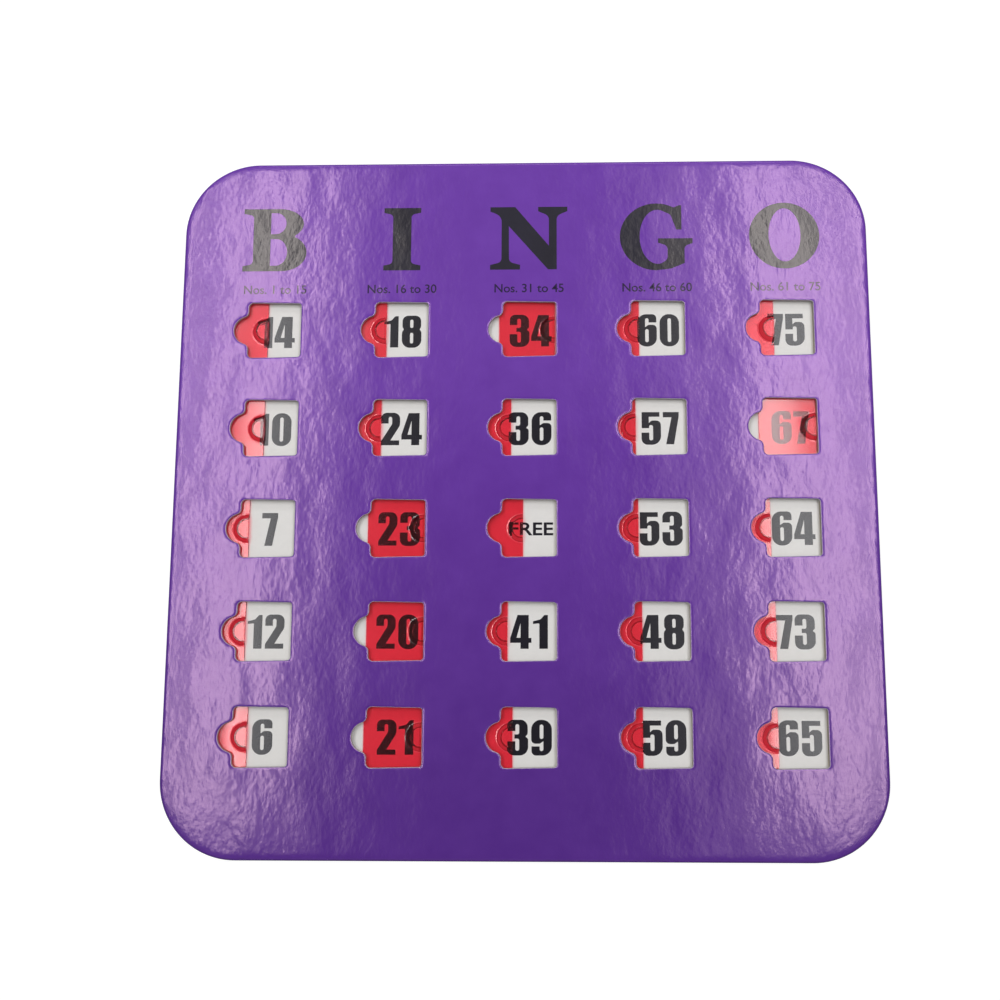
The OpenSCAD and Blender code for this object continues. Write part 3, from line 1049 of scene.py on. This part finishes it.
def area_lamp(name, place, size, watts, turn, aim):
    """A soft panel that faces straight down, turned about the vertical, or faces a point."""
    lamp = bpy.data.lights.new(name, "AREA")
    lamp.shape = "RECTANGLE"
    lamp.size, lamp.size_y = size
    lamp.energy = watts
    holder = bpy.data.objects.new(name, lamp)
    holder.location = place
    holder.rotation_euler = (0, 0, math.radians(turn))
    if aim:
        holder.rotation_euler = (Vector(aim) - Vector(place)).to_track_quat("-Z", "Y").to_euler()
    bpy.context.scene.collection.objects.link(holder)


def pale_floor():
    """A pale floor that reads white in the picture and keeps the card's soft shadow."""
    data = bpy.data.meshes.new("floor")
    corners = [(-1, -1), (1, -1), (1, 1), (-1, 1)]
    data.from_pydata([(x * FLOOR_REACH, y * FLOOR_REACH, 0) for x, y in corners], [], [(0, 1, 2, 3)])
    floor = bpy.data.objects.new("floor", data)
    bpy.context.scene.collection.objects.link(floor)
    material, tree, shader = new_material("pale studio floor")
    shader.inputs["Base Color"].default_value = linear("#808080")
    shader.inputs["Roughness"].default_value = 0.8
    path = add_node(tree, "ShaderNodeLightPath")
    seen = add_node(tree, "ShaderNodeMath", {"operation": "MAXIMUM"},
                    i0=path.outputs["Is Camera Ray"], i1=path.outputs["Is Transmission Ray"])
    glow = add_node(tree, "ShaderNodeMath", {"operation": "MULTIPLY", 1: 0.9}, i0=seen.outputs[0])
    tree.links.new(glow.outputs[0], shader.inputs["Emission Strength"])
    shader.inputs["Emission Color"].default_value = linear("#FFFFFF")
    data.materials.append(material)


def studio_world():
    """A room with light walls up high and a dim ceiling over the camera, which sees it white."""
    world = bpy.data.worlds.new("studio room")
    bpy.context.scene.world = world
    world.use_nodes = True
    tree = world.node_tree
    tree.nodes.clear()
    way = add_node(tree, "ShaderNodeTexCoord").outputs["Generated"]
    height = add_node(tree, "ShaderNodeSeparateXYZ", Vector=way).outputs["Z"]
    stops = [(0.0, "#5C5C5C"), (0.3, "#5C5C5C"), (0.5, "#8A8A8A"), (0.8, "#8A8A8A"), (0.93, "#606062")]
    light = colour_ramp(tree, height, stops)
    path = add_node(tree, "ShaderNodeLightPath")
    seen = add_node(tree, "ShaderNodeMix", {"data_type": "RGBA"}, i0=path.outputs["Is Camera Ray"])
    tree.links.new(light, seen.inputs[6])
    seen.inputs[7].default_value = linear("#FFFFFF")
    room = add_node(tree, "ShaderNodeBackground", {"Strength": 1.0}, Color=seen.outputs[2])
    add_node(tree, "ShaderNodeOutputWorld", Surface=room.outputs["Background"])


pale_floor()
studio_world()
# Lamps: name, place and size in metres, watts, turn in degrees, aim. Two bright tubes hang on each
# side with a dim diffuser, and only sloped faces mirror the lamp beyond the far edge.
LAMPS = [
    ("left inner tube", (-0.393, 0.19, 1.0), (0.08, 0.92), 1.75, -4, None),
    ("left outer tube", (-0.56, 0.19, 1.0), (0.08, 0.92), 1.8, -4, None),
    ("left diffuser", (-0.34, 0.19, 1.01), (0.19, 1.04), 0.45, -4, None),
    ("right inner tube", (0.32, 0.18, 1.0), (0.08, 0.90), 1.6, 4, None),
    ("right outer tube", (0.475, 0.18, 1.0), (0.08, 0.90), 1.7, 4, None),
    ("right diffuser", (0.355, 0.18, 1.01), (0.44, 1.02), 1.15, 4, None),
    ("far glow", (0, 0.50, 1.02), (0.6, 0.5), 0.15, 0, None),
    ("far lamp", (0, 0.55, 0.40), (0.5, 0.12), 0.5, 0, (0, 0, 0)),
]
for lamp in LAMPS:
    area_lamp(*lamp)


# Camera, solved from the card's outline in the photograph. Its place is in millimetres.
CAMERA_PLACE = (12.79, -50.71, 359.6)
CAMERA_RIGHT = (0.9998, 0.0006, -0.0221)
CAMERA_FORWARD = (-0.0219, 0.1408, -0.9898)
FOCAL_PX = 1080
IMAGE_PX = 1000
MIDDLE_PX = (537.7, 496.4)
SENSOR_W = 36

camera = bpy.data.cameras.new("camera")
camera.sensor_width = SENSOR_W
camera.lens = FOCAL_PX / IMAGE_PX * SENSOR_W
camera.shift_x = (IMAGE_PX / 2 - MIDDLE_PX[0]) / IMAGE_PX
camera.shift_y = (MIDDLE_PX[1] - IMAGE_PX / 2) / IMAGE_PX
camera.clip_start = 0.01
eye = bpy.data.objects.new("camera", camera)
forward = Vector(CAMERA_FORWARD).normalized()
right = Vector(CAMERA_RIGHT).normalized()
up = right.cross(forward)
turned = Matrix((right, up, -forward)).transposed().to_4x4()
eye.matrix_world = Matrix.Translation(Vector(CAMERA_PLACE) * MM) @ turned
bpy.context.scene.collection.objects.link(eye)
bpy.context.scene.camera = eye
bpy.context.scene.view_settings.view_transform = "Standard"
